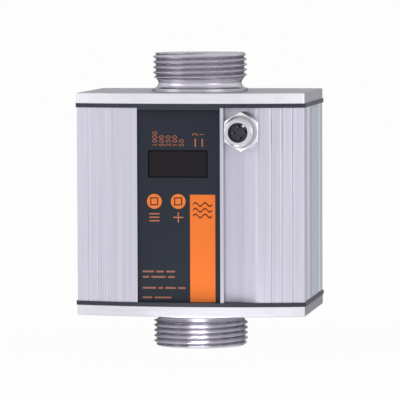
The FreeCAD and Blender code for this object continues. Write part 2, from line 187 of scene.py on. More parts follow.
class Sheet(Wiring):
    """The nodes of one material, around its main shader.

    Attributes:
        detail: how many finer layers a grain has.
        fineness: weight of each finer layer.
        ends: values of a grain that count as its dark and its light end.
    """

    detail: float = 4.0
    fineness: float = 0.6
    ends: Ends = (0.3, 0.7)

    def __init__(self, name: str) -> None:
        """Starts a new material.

        Args:
            name: the material's name.
        """
        self.material = bpy.data.materials.new(name)
        self.material.use_nodes = True
        super().__init__(self.material.node_tree)
        self.shader = self.tree.nodes["Principled BSDF"]

    def coordinates(self, scale: Place) -> Socket:
        """Adds the piece's own coordinates.

        Args:
            scale: factors on X, Y and Z.

        Returns:
            The scaled coordinates.
        """
        own = self.add("ShaderNodeTexCoord")
        mapping = self.add("ShaderNodeMapping", Scale=scale)
        self.link(own.outputs["Object"], mapping.inputs["Vector"])
        return mapping.outputs["Vector"]

    def grain(self, scale: Place) -> Socket:
        """Adds a noise on the piece's own coordinates.

        Args:
            scale: grains per metre along X, Y and Z.

        Returns:
            The noise's value, from 0 to 1.
        """
        noise = self.add("ShaderNodeTexNoise", Scale=1.0, Detail=self.detail, Roughness=self.fineness)
        self.link(self.coordinates(scale), noise.inputs["Vector"])
        return noise.outputs["Fac"]

    def tones(self, value: Socket, dark: Sequence[float], light: Sequence[float]) -> Socket:
        """Spreads a grain between two colours.

        Args:
            value: the grain.
            dark: linear colour at its dark end.
            light: linear colour at its light end.

        Returns:
            The colour.
        """
        ramp = self.add("ShaderNodeValToRGB")
        for stop, place, colour in zip(ramp.color_ramp.elements, self.ends, (dark, light)):
            stop.position = place
            stop.color = colour
        self.link(value, ramp.inputs["Fac"])
        return ramp.outputs["Color"]

    def paint_groove_shade(self, colour: Socket, depth: float) -> Socket:
        """Paints shade into a colour in the piece's own grooves.

        Args:
            colour: the colour of the open surface.
            depth: reach of the painted shade in metres.

        Returns:
            The colour with painted shade in the grooves.
        """
        node = self.add("ShaderNodeAmbientOcclusion", Distance=depth)
        node.only_local = True
        self.link(colour, node.inputs["Color"])
        return node.outputs["Color"]

    def corner(self, colour: Socket, light: Sequence[float], place: Place, reach: float) -> Socket:
        """Paints a reflection along an upright corner by lightening a colour.

        Args:
            colour: the colour away from the corner.
            light: linear colour of the painted reflection in the corner.
            place: a point of the corner, at height zero.
            reach: where the painted reflection ends, in metres from the corner.

        Returns:
            The colour with the painted reflection along the corner.
        """
        away = self.add("ShaderNodeVectorMath")
        away.operation = "DISTANCE"
        away.inputs[1].default_value = place
        self.link(self.coordinates((1.0, 1.0, 0.0)), away.inputs[0])
        mix = self.add("ShaderNodeMixRGB", Color2=light)
        self.link(self.remap(away.outputs["Value"], (0.0, reach), (1.0, 0.0)), mix.inputs["Fac"])
        self.link(colour, mix.inputs["Color1"])
        return mix.outputs["Color"]

    def relief(self, value: Socket, height: float) -> None:
        """Lifts the surface by a grain.

        Args:
            value: the grain.
            height: relief in metres.
        """
        bump = self.add("ShaderNodeBump", Strength=1.0, Distance=height)
        self.link(value, bump.inputs["Height"])
        self.link(bump.outputs["Normal"], self.shader.inputs["Normal"])


@dataclass(frozen=True)
class Finish:
    """A surface whose tone, gloss and relief follow one grain.

    Attributes:
        name: the material's name.
        tone: mean colour, 8-bit.
        roughness: mean roughness.
        shade: how far the tone varies either way, as a share.
        spread: how far the roughness varies either way.
        grain: grains per metre across the lay.
        lay: direction of the lines.
        height: relief of the grain in metres.
        groove_shade_reach: reach of the shade painted into grooves, in metres; zero leaves grooves as they
            are.
    """

    name: str
    tone: Tone
    roughness: float
    shade: float = 0.05
    spread: float = 0.04
    grain: float = 900.0
    lay: Lay = Lay.EVEN
    height: float = 0.002 * MM
    groove_shade_reach: float = 0.0

    def material(self) -> bpy.types.Material:
        """Returns the material, made the first time that it is asked for."""
        made = bpy.data.materials.get(self.name)
        return made if made else self.make()

    def make(self) -> bpy.types.Material:
        """Makes the material.

        Returns:
            The new material.
        """
        sheet = Sheet(self.name)
        grain = sheet.grain(tuple(self.grain * share for share in self.lay.value))
        sheet.link(self.colour(sheet, grain), sheet.shader.inputs["Base Color"])
        gloss = sheet.remap(grain, sheet.ends, (self.roughness - self.spread, self.roughness + self.spread))
        sheet.link(gloss, sheet.shader.inputs["Roughness"])
        sheet.relief(grain, self.height)
        self.set_shader(sheet.shader)
        return sheet.material

    def colour(self, sheet: Sheet, grain: Socket) -> Socket:
        """Makes the surface's colour.

        Args:
            sheet: the material's sheet.
            grain: the noise that the tone follows.

        Returns:
            The colour.
        """
        tones = sheet.tones(grain, linear(self.tone, 1 - self.shade), linear(self.tone, 1 + self.shade))
        return sheet.paint_groove_shade(tones, self.groove_shade_reach) if self.groove_shade_reach else tones

    def set_shader(self, shader: bpy.types.Node) -> None:
        """Sets what is the same all over the surface; a plain finish leaves it as it is."""


@dataclass(frozen=True)
class Metal(Finish):
    """A bare, plated or anodised metal.

    Attributes:
        edge_tint: share of the light that a face seen edge-on gives back.
    """

    edge_tint: float = 1.0

    def set_shader(self, shader: bpy.types.Node) -> None:
        """Makes the surface metal."""
        shader.inputs["Metallic"].default_value = 1.0
        shader.inputs["Specular Tint"].default_value = (self.edge_tint, self.edge_tint, self.edge_tint, 1.0)


@dataclass(frozen=True)
class Extrusion(Metal):
    """An extruded metal whose colour is lightened along one long corner, a painted reflection where the metal
    mirrors itself.

    Attributes:
        corner: a point of the corner, at height zero.
        reach: how far from the corner the painted reflection ends, in metres.
        painted_reflection_tone: colour of the painted reflection in the corner, 8-bit.
    """

    corner: Place = (15.5 * MM, -29.3 * MM, 0.0)
    reach: float = 7.5 * MM
    painted_reflection_tone: Tone = (227, 225, 234)

    def colour(self, sheet: Sheet, grain: Socket) -> Socket:
        """Returns the metal's colour with the painted reflection along the corner."""
        return sheet.corner(super().colour(sheet, grain), linear(self.painted_reflection_tone), self.corner, self.reach)


@dataclass(frozen=True)
class Plastic(Finish):
    """A moulded, printed, cast or fired surface that isn't metal.

    Attributes:
        gloss: specular level.
    """

    gloss: float = 0.3

    def set_shader(self, shader: bpy.types.Node) -> None:
        """Sets the surface's gloss."""
        shader.inputs["Specular IOR Level"].default_value = self.gloss


# The tube's thread roots and the housing's grooves get painted shade in their colour.
STAINLESS = Metal("turned_stainless", (204, 201, 210), 0.24, grain=2600.0, lay=Lay.AROUND_Z,
                  groove_shade_reach=0.6 * MM, edge_tint=0.44)
SCREW_STEEL = Metal("screw_satin", (176, 175, 178), 0.30, grain=2000.0, edge_tint=0.6)
# The housing's colour holds a painted reflection along the scoop's corner beside the rib.
HOUSING = Extrusion("extruded_satin", (202, 200, 213), 0.40, shade=0.09, grain=800.0, lay=Lay.ALONG_Z,
                    groove_shade_reach=0.12 * MM, edge_tint=0.58)
COVER = Metal("cover_satin", (230, 227, 236), 0.36, lay=Lay.ALONG_X, edge_tint=0.22)
# A darker copy of the cover's finish: painted shade on the lower cover.
SHADED_LOWER_COVER = Metal("cover_satin_painted_shade", (220, 218, 227), 0.36, lay=Lay.ALONG_X, edge_tint=0.16)
NICKEL = Metal("nickel_plate", (206, 204, 216), 0.18, shade=0.03, grain=1500.0, lay=Lay.AROUND_Y,
               edge_tint=0.75)
# Lighter and darker copies of the plug's nickel: painted light on the hexagon foot and the coding rib,
# painted shade on the shoulder.
LIT_NICKEL = Metal("nickel_painted_light", (240, 238, 244), 0.26, shade=0.03, grain=1500.0, lay=Lay.AROUND_Y)
SHADED_NICKEL = Metal("nickel_painted_shade", (186, 181, 186), 0.30, shade=0.06, grain=1500.0, lay=Lay.AROUND_Y)
GOLD = Metal("gold_plate", (118, 110, 98), 0.34, grain=1500.0, lay=Lay.AROUND_Y)
STRAP = Metal("rolled_strap", (172, 172, 172), 0.30, grain=1200.0, lay=Lay.AROUND_Z)
FOIL = Metal("silver_foil", (190, 198, 208), 0.42, grain=1200.0, lay=Lay.ALONG_Z, edge_tint=0.66)
RUBBER = Plastic("gasket_rubber_matt", (58, 61, 71), 0.62, shade=0.10, grain=2200.0, height=0.01 * MM,
                 gloss=0.25)
PANEL = Plastic("panel_film", (38, 43, 54), 0.46, shade=0.06, grain=4000.0, height=0.004 * MM, gloss=0.22)
WINDOW = Plastic("window_tinted", (26, 21, 26), 0.12, shade=0.08, spread=0.02, grain=300.0, height=0.0,
                 gloss=0.18)
# A dark film of painted shade along the window's edge.
WINDOW_SHADE_FILM = Plastic("painted_window_shade_film", (8, 8, 12), 0.60, shade=0.10, grain=2000.0, gloss=0.04)
ORANGE = Plastic("print_orange", (246, 126, 50), 0.46, shade=0.03, grain=4000.0, height=0.004 * MM,
                 gloss=0.22)
ORANGE_FINE = Plastic("print_orange_fine", (158, 106, 88), 0.46, shade=0.03, grain=4000.0, gloss=0.22)
ORANGE_LEGEND = Plastic("print_orange_legend", (202, 120, 84), 0.46, shade=0.03, grain=4000.0, gloss=0.22)
BROWN = Plastic("print_brown", (112, 48, 22), 0.46, shade=0.04, grain=4000.0, gloss=0.22)
KEY = Plastic("key_orange", (250, 136, 62), 0.42, shade=0.03, grain=3000.0, height=0.006 * MM, gloss=0.25)
CARRIER = Plastic("carrier_grey", (92, 89, 108), 0.36, shade=0.12, grain=1800.0, height=0.01 * MM, gloss=0.4)
BLACK = Plastic("moulded_black", (30, 30, 33), 0.50, shade=0.12, grain=2500.0, height=0.01 * MM)
BOARD = Plastic("solder_resist", (24, 92, 48), 0.34, shade=0.16, grain=1400.0, height=0.01 * MM, gloss=0.5)
DISPLAY = Plastic("display_black", (22, 20, 22), 0.22, shade=0.10, gloss=0.4)
WEDGE = Plastic("machined_polymer", (196, 172, 124), 0.44, shade=0.08, grain=1600.0, lay=Lay.ALONG_X,
                gloss=0.4)
CERAMIC = Plastic("fired_ceramic", (226, 218, 198), 0.58, shade=0.06, grain=3200.0, height=0.008 * MM,
                  gloss=0.4)
RESIN = Plastic("cast_resin", (52, 52, 54), 0.30, shade=0.10, grain=700.0, gloss=0.5)

NODE_FINISHES: dict[str, Finish] = {
    "upper_tube_seal": RUBBER, "lower_tube_seal": RUBBER, "plug_seal": RUBBER,
    "upper_gasket": RUBBER, "lower_gasket": RUBBER,
    "measuring_tube": STAINLESS, "housing_profile": HOUSING, "type_plate": FOIL,
    "top_cover": COVER, "bottom_cover": SHADED_LOWER_COVER, "top_screws": SCREW_STEEL, "bottom_screws": SCREW_STEEL,
    "front_panel": PANEL, "display_window": WINDOW, "mode_key": KEY, "set_key": KEY,
    "mode_switch": BLACK, "set_switch": BLACK, "mode_plunger": BLACK, "set_plunger": BLACK,
    "processor": BLACK, "inductor": BLACK, "main_board": BOARD, "display_module": DISPLAY,
    "plug_shell": NICKEL, "plug_locknut": NICKEL, "plug_insert": CARRIER, "plug_pins": GOLD,
    "upper_wedge": WEDGE, "lower_wedge": WEDGE, "upper_piezo": CERAMIC, "lower_piezo": CERAMIC,
    "upper_strap": STRAP, "lower_strap": STRAP, "temperature_sensor": RESIN,
}


# Modelling


def deselect() -> None:
    """Leaves nothing selected, so that an operator acts on the next primitive alone."""
    bpy.ops.object.select_all(action="DESELECT")


def select_only(*pieces: Piece) -> None:
    """Selects some pieces alone.

    Args:
        pieces: what is selected; the first one becomes active.
    """
    deselect()
    for piece in pieces:
        piece.select_set(True)
    bpy.context.view_layer.objects.active = pieces[0]


def settle(piece: Piece) -> None:
    """Applies a piece's place, turn and scale to its mesh."""
    select_only(piece)
    bpy.ops.object.transform_apply(location=True, rotation=True, scale=True)


def newest(name: str) -> Piece:
    """Names the primitive that was added last and applies its place, so that it sits at the origin.

    Args:
        name: the piece's name.

    Returns:
        The piece.
    """
    piece = bpy.context.object
    piece.name = name
    piece.data.name = name
    settle(piece)
    return piece


@contextmanager
def editing(piece: Piece) -> Iterator[None]:
    """Opens a piece in edit mode with all of it selected, and closes it again.

    Args:
        piece: what is edited.

    Yields:
        Nothing; the edits are made meanwhile.
    """
    select_only(piece)
    bpy.ops.object.mode_set(mode="EDIT")
    bpy.ops.mesh.select_all(action="SELECT")
    yield
    bpy.ops.object.mode_set(mode="OBJECT")


def join(name: str, pieces: Sequence[Piece]) -> Piece:
    """Joins several pieces into one.

    Args:
        name: name of the joined piece.
        pieces: what is joined; the first one stays.

    Returns:
        The joined piece.
    """
    select_only(*pieces)
    bpy.ops.object.join()
    return newest(name)


def apply_modifier(piece: Piece, modifier: bpy.types.Modifier) -> None:
    """Applies a modifier to its piece."""
    select_only(piece)
    bpy.ops.object.modifier_apply(modifier=modifier.name)


def intersect(piece: Piece, tool: Piece) -> None:
    """Keeps what a piece has in common with a tool, and deletes the tool.

    Args:
        piece: what is trimmed.
        tool: the closed shape that trims it.
    """
    modifier = piece.modifiers.new("Cut", "BOOLEAN")
    modifier.operation = "INTERSECT"
    modifier.solver = "EXACT"
    modifier.object = tool
    apply_modifier(piece, modifier)
    bpy.data.objects.remove(tool)


def soften(piece: Piece, degrees: float) -> None:
    """Shades a piece smooth, apart from edges sharper than an angle."""
    select_only(piece)
    bpy.ops.object.shade_smooth_by_angle(angle=math.radians(degrees))


def shape(piece: Piece, move: Callable[[Vector], Vector]) -> None:
    """Moves each vertex of a piece to where a formula puts it."""
    for vertex in piece.data.vertices:
        vertex.co = move(vertex.co)


def turn(name: str, section: Sequence[Ends], segments: int) -> Piece:
    """Turns a closed section about Z by extruding a circle from loop to loop.

    Args:
        name: the piece's name.
        section: radius and height of each loop, in order round the section.
        segments: edges in each loop.

    Returns:
        The closed ring.
    """
    first_radius, first_height = section[0]
    deselect()
    bpy.ops.mesh.primitive_circle_add(vertices=segments, radius=first_radius, location=(0, 0, first_height))
    piece = newest(name)
    with editing(piece):
        for (radius, height), (next_radius, next_height) in zip(section, [*section[1:], section[0]]):
            bpy.ops.mesh.extrude_region_move(TRANSFORM_OT_translate={"value": (0, 0, next_height - height)})
            share = next_radius / radius
            bpy.ops.transform.resize(value=(share, share, 1), center_override=(0, 0, next_height))
        bpy.ops.mesh.select_all(action="SELECT")
        bpy.ops.mesh.remove_doubles(threshold=MERGE)
        bpy.ops.mesh.normals_make_consistent(inside=False)
    return piece


def flat(name: str, middle: Sequence[float], width: float, height: float) -> Piece:
    """Makes a flat rectangle that faces the front.

    Args:
        name: the piece's name.
        middle: middle of the rectangle.
        width: size along X.
        height: size along Z.

    Returns:
        The rectangle.
    """
    deselect()
    bpy.ops.mesh.primitive_plane_add(size=1.0, location=middle, rotation=FACING_FRONT)
    bpy.context.object.scale = (width, height, 1.0)
    return newest(name)


def thicken(mark: Piece) -> Piece:
    """Gives a flat mark the thickness of print, towards the front.

    Args:
        mark: a flat mark on a surface that faces the front.

    Returns:
        The same mark as a closed film.
    """
    with editing(mark):
        bpy.ops.mesh.extrude_region_move(TRANSFORM_OT_translate={"value": (0, -FILM, 0)})
        bpy.ops.mesh.select_all(action="SELECT")
        bpy.ops.mesh.normals_make_consistent(inside=False)
    return mark


def outline(name: str, middle: Sequence[float], width: float, height: float, stroke: float) -> Piece:
    """Prints a rectangle's outline on a surface that faces the front.

    Args:
        name: the mark's name.
        middle: middle of the rectangle on the surface.
        width: outer size along X.
        height: outer size along Z.
        stroke: width of the line.

    Returns:
        The mark.
    """
    mark = flat(name, middle, width, height)
    with editing(mark):
        bpy.ops.mesh.inset(thickness=stroke)
        bpy.ops.mesh.delete(type="FACE")
    return thicken(mark)


def hand_over(piece: Piece, finish: Finish, body: str, slot: str, *nodes: str) -> None:
    """Dresses a finished piece, lets it ride on its body and reports it.

    Args:
        piece: the finished piece.
        finish: its surface.
        body: the CAD body that it moves with.
        slot: the record's material slot; not used.
        nodes: CAD nodes that it stands for.
    """
    piece.data.materials.clear()
    piece.data.materials.append(finish.material())
    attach(piece, body)
    if nodes:
        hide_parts(*nodes)
    LOG.info("%s: %d faces, rides on %s", piece.name, len(piece.data.polygons), body)


def steps(start: float, stop: float, count: int) -> list[float]:
    """Returns evenly spaced numbers from start to stop, both included."""
    return [start + (stop - start) * k / count for k in range(count + 1)]


@dataclass(frozen=True)
class Thread:
    """A right-hand screw thread round Z.

    Attributes:
        crest: outer radius.
        depth: height of the thread.
        pitch: rise in one turn.
        phase: height of the crest at the angle zero.
        peak: share of the third harmonic, which narrows the crests.
    """

    crest: float
    depth: float
    pitch: float
    phase: float = 0.0
    peak: float = 0.11

    def radius(self, angle: float, height: float) -> float:
        """Works out the thread's surface.

        Args:
            angle: angle round the axis.
            height: place along the axis.

        Returns:
            The radius there.
        """
        turn_angle = 2 * math.pi * (height - self.phase) / self.pitch - angle
        wave = (math.cos(turn_angle) + self.peak * math.cos(3 * turn_angle)) / (1 + self.peak)
        return self.crest - self.depth * (1 - wave) / 2

    def cut(self, point: Vector) -> Vector:
        """Moves a vertex of a plain wall in to the thread.

        Args:
            point: the vertex on the plain wall.

        Returns:
            Its place on the thread.
        """
        radius = math.hypot(point.x, point.y)
        share = min(radius, self.radius(math.atan2(point.y, point.x), point.z)) / radius
        return Vector((point.x * share, point.y * share, point.z))


# Sub-assemblies


@dataclass
class MeasuringTube:
    """The turned tube with a pipe thread, a round undercut and a collar at each end."""

    segments: int = 176
    smooth_angle: float = 40.0
    bore: float = 16.0 * MM
    bore_chamfer: float = 0.5 * MM
    outer: float = 18.5 * MM
    flange: float = 24.0 * MM
    flange_low: float = 40.3 * MM
    flange_high: float = 44.3 * MM
    collar: float = 21.2 * MM
    collar_end: float = 49.2 * MM
    seal_floor: float = 19.65 * MM
    seal_low: float = 45.6 * MM
    seal_high: float = 47.5 * MM
    undercut: float = 2.4 * MM
    undercut_rows: int = 10
    end_chamfer: float = 1.35 * MM
    flat_y: float = 17.6 * MM
    flat_half: float = 34.0 * MM
    flat_step: float = 0.01 * MM
    drop: float = 0.85 * MM
    thread_rows: int = 110
    upper_thread: Thread = Thread(crest=20.955 * MM, depth=1.479 * MM, pitch=2.309 * MM, phase=1.89 * MM)
    lower_thread: Thread = Thread(crest=20.955 * MM, depth=1.479 * MM, pitch=2.309 * MM, phase=0.28 * MM)
    end: float = field(default_factory=lambda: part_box("measuring_tube")[1].z)

    @property
    def valley(self) -> float:
        """Height of the middle of the undercut."""
        return self.collar_end + self.undercut

    def envelope(self, height: float) -> float:
        """Works out what the undercut and the end chamfer leave above the collar.

        Args:
            height: place along the axis, from the tube's middle.

        Returns:
            The radius there, before the thread is cut.
        """
        off = height - self.valley
        hollow = math.sqrt(max(0.0, self.undercut ** 2 - off ** 2))
        slope = self.end - height + self.upper_thread.crest - self.end_chamfer
        return min(self.upper_thread.crest - hollow, slope)

    def half(self, way: int) -> list[Ends]:
        """Lists the loops of one half's section, from its middle to the bore.

        The loops inside the housing are measured from the housing's middle, which lies below
        the tube's own, and those outside it from the tube's middle.

        Args:
            way: 1 for the upper half and -1 for the lower one.

        Returns:
            Radius and height of each loop.
        """
        inside = [
            (self.outer, self.flat_half),
            (self.outer, self.flat_half + self.flat_step),
            (self.outer, self.flange_low),
            (self.flange, self.flange_low),
            (self.flange, self.flange_high),
            (self.collar, self.flange_high),
            (self.collar, self.seal_low),
            (self.seal_floor, self.seal_low),
            (self.seal_floor, self.seal_high),
            (self.collar, self.seal_high),
        ]
        hollow = steps(self.collar_end, self.valley, self.undercut_rows)
        rows = steps(self.valley, self.end, self.thread_rows)[1:]
        outside = [(self.collar, self.collar_end)]
        outside += [(self.envelope(z), z) for z in hollow + rows]
        outside.append((self.bore + self.bore_chamfer, self.end))
        outside.append((self.bore, self.end - self.bore_chamfer))
        return [(r, way * z - self.drop) for r, z in inside] + [(r, way * z) for r, z in outside]

    def cut_surface(self, point: Vector) -> Vector:
        """Moves a vertex of the plain tube to the thread or to the milled flat.

        Args:
            point: the vertex on the plain tube.

        Returns:
            Its place on the finished tube.
        """
        radius = math.hypot(point.x, point.y)
        if abs(point.z) > self.valley and radius > self.bore + 2 * self.bore_chamfer:
            thread = self.upper_thread if point.z > 0 else self.lower_thread
            return thread.cut(point)
        if abs(point.z + self.drop) <= self.flat_half + MERGE and point.y > self.flat_y:
            return Vector((point.x, self.flat_y, point.z))
        return point

    def build(self) -> None:
        """Turns the tube, cuts its threads and its flat, and hands it over."""
        tube = turn("threaded_tube", self.half(-1)[::-1] + self.half(1), self.segments)
        shape(tube, self.cut_surface)
        soften(tube, self.smooth_angle)
        hand_over(tube, STAINLESS, METER, "stainless", "measuring_tube")


@dataclass
class PlugShell:
    """The plug's metal shell: hexagon foot, threaded sleeve, spigot and coding rib.

    The pieces are made standing on Z, with the spigot's rear end at the origin.
    """

    segments: int = 96
    smooth_angle: float = 28.0
    across_flats: float = 15.06 * MM
    face_radius: float = 7.2 * MM
    corner_slope: float = math.radians(14.0)
    shoulder: float = 1.2 * MM
    rim: float = 0.2 * MM
    rim_segments: int = 2
    rim_angle: float = math.radians(20.0)
    foot_height: float = 6.9 * MM
    spigot: float = 4.2 * MM
    sleeve_length: float = 10.0 * MM
    sleeve_chamfer: float = 0.6 * MM
    bore: float = 4.25 * MM
    bore_chamfer: float = 0.2 * MM
    neck_radius: float = 5.3 * MM
    neck_length: float = 0.9 * MM
    thread_rows: int = 120
    thread: Thread = Thread(crest=6.0 * MM, depth=0.61 * MM, pitch=1.0 * MM)
    rib_angle: float = math.radians(40.0)
    rib_width: float = 1.34 * MM
    rib_low: float = 3.26 * MM
    rib_high: float = 4.24 * MM
    rib_length: float = 6.0 * MM
    rib_recess: float = 0.97 * MM

    @property
    def front(self) -> float:
        """Height of the foot's front face."""
        return self.spigot + self.foot_height

    @property
    def top(self) -> float:
        """Height of the sleeve's open end."""
        return self.front + self.sleeve_length

    @property
    def inner(self) -> float:
        """Radius inside the sleeve's wall at which foot and shoulder end."""
        return self.thread.crest - self.rim

    def place(self) -> Matrix:
        """Works out how the shell gets from Z to its axis on the front.

        Returns:
            The turn and the place.
        """
        low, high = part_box("plug_shell")
        axis = Vector(((low.x + high.x) / 2, high.y, (low.z + high.z) / 2))
        return Matrix.Translation(axis) @ Euler(FACING_FRONT).to_matrix().to_4x4()

    def sleeve(self) -> Piece:
        """Turns the sleeve and spigot and cuts the thread.

        Returns:
            The sleeve with its spigot.
        """
        crest = self.thread.crest
        neck_low = self.front + self.shoulder
        thread_low = neck_low + self.neck_length
        rows = steps(thread_low, self.top, self.thread_rows)
        section = [(crest, 0.0), (crest, neck_low - self.neck_length), (self.neck_radius, neck_low)]
        section += [(min(crest, crest - self.sleeve_chamfer + self.top - z), z) for z in rows]
        section.append((self.bore + self.bore_chamfer, self.top))
        section.append((self.bore, self.top - self.bore_chamfer))
        section.append((self.bore, 0.0))
        sleeve = turn("threaded_plug_shell", section, self.segments)

        def cut_thread(point: Vector) -> Vector:
            """Moves a vertex of the sleeve's outer wall to the thread and leaves the others."""
            inside = math.hypot(point.x, point.y) < self.bore + 2 * self.bore_chamfer
            return point if inside or point.z < thread_low else self.thread.cut(point)

        shape(sleeve, cut_thread)
        return sleeve

    def foot(self) -> Piece:
        """Makes the hexagon foot with its turned corners.

        Returns:
            The foot.
        """
        reach = self.across_flats / math.sqrt(3)
        middle = (0, 0, self.spigot + self.foot_height / 2)
        deselect()
        bpy.ops.mesh.primitive_cylinder_add(vertices=6, radius=reach, depth=self.foot_height, location=middle)
        foot = newest("plug_foot")
        outer = reach + self.shoulder
        trim = turn("plug_foot_trim", [
            (self.inner, self.spigot),
            (outer, self.spigot),
            (outer, self.front - (outer - self.face_radius) * math.tan(self.corner_slope)),
            (self.face_radius, self.front),
            (self.inner, self.front),
        ], self.segments)
        intersect(foot, trim)
        bevel = foot.modifiers.new("Rim", "BEVEL")
        bevel.width = self.rim
        bevel.segments = self.rim_segments
        bevel.limit_method = "ANGLE"
        bevel.angle_limit = self.rim_angle
        apply_modifier(foot, bevel)
        return foot

    def cone(self) -> Piece:
        """Turns the conical shoulder between the foot and the sleeve.

        Returns:
            The shoulder.
        """
        return turn("plug_shoulder", [
            (self.inner, self.front),
            (self.face_radius, self.front),
            (self.face_radius, self.front + self.rim),
            (self.thread.crest + self.rim, self.front + self.shoulder),
            (self.inner, self.front + self.shoulder),
        ], self.segments)

    def coding_rib(self) -> Piece:
        """Makes the rib in the sleeve that turns the mating plug the right way.

        Returns:
            The rib.
        """
        rib_top = self.top - self.rib_recess
        middle = (0.0, (self.rib_low + self.rib_high) / 2, rib_top - self.rib_length / 2)
        deselect()
        bpy.ops.mesh.primitive_cube_add(size=1.0, location=middle)
        bpy.context.object.scale = (self.rib_width, self.rib_high - self.rib_low, self.rib_length)
        rib = newest("plug_coding_rib")
        with editing(rib):
            bpy.ops.mesh.bevel(offset=self.rim, segments=self.rim_segments)
            bpy.ops.transform.rotate(value=self.rib_angle, orient_axis="Z", center_override=(0, 0, 0))
        return rib

    def build(self) -> None:
        """Stands sleeve, foot, shoulder and rib on the front face and hands them over."""
        sleeve = self.sleeve()
        # The foot and the rib take the lighter copy of the nickel as painted light, the shoulder the darker
        # copy as painted shade.
        dressed = (
            (sleeve, NICKEL),
            (self.foot(), LIT_NICKEL),
            (self.cone(), SHADED_NICKEL),
            (self.coding_rib(), LIT_NICKEL),
        )
        for piece, finish in dressed:
            piece.matrix_world = self.place()
            settle(piece)
            soften(piece, self.smooth_angle)
            replaced = ("plug_shell",) if piece is sleeve else ()
            hand_over(piece, finish, METER, "plug_nickel", *replaced)


@dataclass
class PanelPrint:
    """The print on the front panel: a band of colour, numbers, signs and lines, a film thick."""

    slot: str = "panel_anthracite"
    band_left: float = 0.49 * MM
    band_right: float = 11.59 * MM
    band_top: float = 3.74 * MM
    number_size: float = 3.2 * MM
    number_thinning: float = 0.03 * MM
    number_spacing: float = 1.08
    number_low: float = 24.63 * MM
    scale_left: float = -14.83 * MM
    scale_pitch: float = 2.95 * MM
    scale_numbers: tuple[str, ...] = ("1000", "500", "250", "100", "50")
    output_left: float = 2.89 * MM
    output_pitch: float = 3.08 * MM
    output_numbers: tuple[str, ...] = ("2", "1")
    lead_length: float = 3.6 * MM
    stroke: float = 0.5 * MM
    stroke_rounding: float = 0.48
    stroke_segments: int = 4
    sign_z: float = -6.18 * MM
    sign_size: float = 4.6 * MM
    wave_x: float = 6.02 * MM
    wave_z: float = -2.99 * MM
    wave_width: float = 8.4 * MM
    wave_rise: float = 0.75 * MM
    wave_stroke: float = 0.75 * MM
    wave_pitch: float = 2.5 * MM
    wave_count: int = 3
    wave_turns: float = 2.0
    wave_steps: int = 32
    small_left: float = -20.65 * MM
    small_height: float = 0.8 * MM
    small_gap: float = 0.9 * MM
    small_rows: tuple[tuple[float, tuple[float, ...]], ...] = (
        (-29.92 * MM, (5.2 * MM, 3.4 * MM, 4.1 * MM)),
        (-32.3 * MM, (3.0 * MM, 6.4 * MM, 3.2 * MM)),
        (-37.1 * MM, (6.1 * MM, 2.2 * MM, 4.6 * MM, 3.6 * MM)),
        (-41.3 * MM, (4.4 * MM, 7.6 * MM)),
    )
    window_x: float = -4.85 * MM
    window_z: float = 17.15 * MM
    window_width: float = 26.3 * MM
    window_height: float = 12.0 * MM
    # Width of the dark film of painted shade along the window's edge.
    painted_window_shade: float = 0.5 * MM
    front: float = field(default_factory=lambda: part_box("front_panel")[0].y)
    panel_low: float = field(default_factory=lambda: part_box("front_panel")[0].z)

    def patch(self, name: str, across: Ends, upwards: Ends, corner: float = 0.0) -> Piece:
        """Makes a patch of colour.

        Args:
            name: the mark's name.
            across: its lowest and highest X.
            upwards: its lowest and highest Z.
            corner: radius of its corners.

        Returns:
            The mark.
        """
        (left, right), (low, high) = across, upwards
        middle = ((left + right) / 2, self.front, (low + high) / 2)
        mark = flat(name, middle, right - left, high - low)
        if corner:
            with editing(mark):
                bpy.ops.mesh.bevel(affect="VERTICES", offset=corner, segments=self.stroke_segments)
        return thicken(mark)

    def bar(self, x: float, z: float, width: float, height: float) -> Piece:
        """Makes a bar with round ends.

        Args:
            x: X of its middle.
            z: Z of its middle.
            width: size along X.
            height: size along Z.

        Returns:
            The mark.
        """
        across = (x - width / 2, x + width / 2)
        upwards = (z - height / 2, z + height / 2)
        return self.patch("bar", across, upwards, self.stroke_rounding * min(width, height))

    def number(self, text: str, x: float, low: float) -> Piece:
        """Sets a number that reads upwards.

        Args:
            text: the digits.
            x: middle of the line of digits.
            low: where the number starts.

        Returns:
            The digits as a mesh.
        """
        deselect()
        bpy.ops.object.text_add(location=(x, self.front, low), rotation=READING_UPWARDS)
        digits = bpy.context.object
        digits.data.body = text
        digits.data.size = self.number_size
        digits.data.offset = -self.number_thinning
        digits.data.space_character = self.number_spacing
        digits.data.align_y = "CENTER"
        bpy.ops.object.convert(target="MESH")
        return thicken(newest("number"))

    def band(self) -> None:
        """Lays the orange band down to the panel's lower end."""
        across = (self.band_left, self.band_right)
        band = self.patch("orange_band", across, (self.panel_low, self.band_top))
        hand_over(band, ORANGE, METER, self.slot)

    def numbers(self) -> None:
        """Prints the scale numbers and the output numbers with their lead lines above the window."""
        marks = [self.number(text, self.scale_left + k * self.scale_pitch, self.number_low)
                 for k, text in enumerate(self.scale_numbers)]
        for k, text in enumerate(self.output_numbers):
            x = self.output_left + k * self.output_pitch
            marks.append(self.bar(x, self.number_low + self.lead_length / 2, self.stroke, self.lead_length))
            marks.append(self.number(text, x, self.number_low + self.lead_length + 2 * self.stroke))
        hand_over(join("panel_numbers", marks), ORANGE_LEGEND, METER, self.slot)

    def signs(self) -> None:
        """Prints a list sign and a plus sign below the keys."""
        list_x, plus_x = (key_middle(node).x for node in ("mode_key", "set_key"))
        size = self.sign_size
        marks = [self.bar(list_x, self.sign_z + k * size / 3, size, self.stroke) for k in (-1, 0, 1)]
        arm = (size - self.stroke) / 2
        marks.append(self.bar(plus_x, self.sign_z, size, self.stroke))
        for side in (-1, 1):
            middle = self.sign_z + side * (arm + self.stroke) / 2
            marks.append(self.bar(plus_x, middle, self.stroke, arm))
        hand_over(join("key_signs", marks), ORANGE_LEGEND, METER, self.slot)

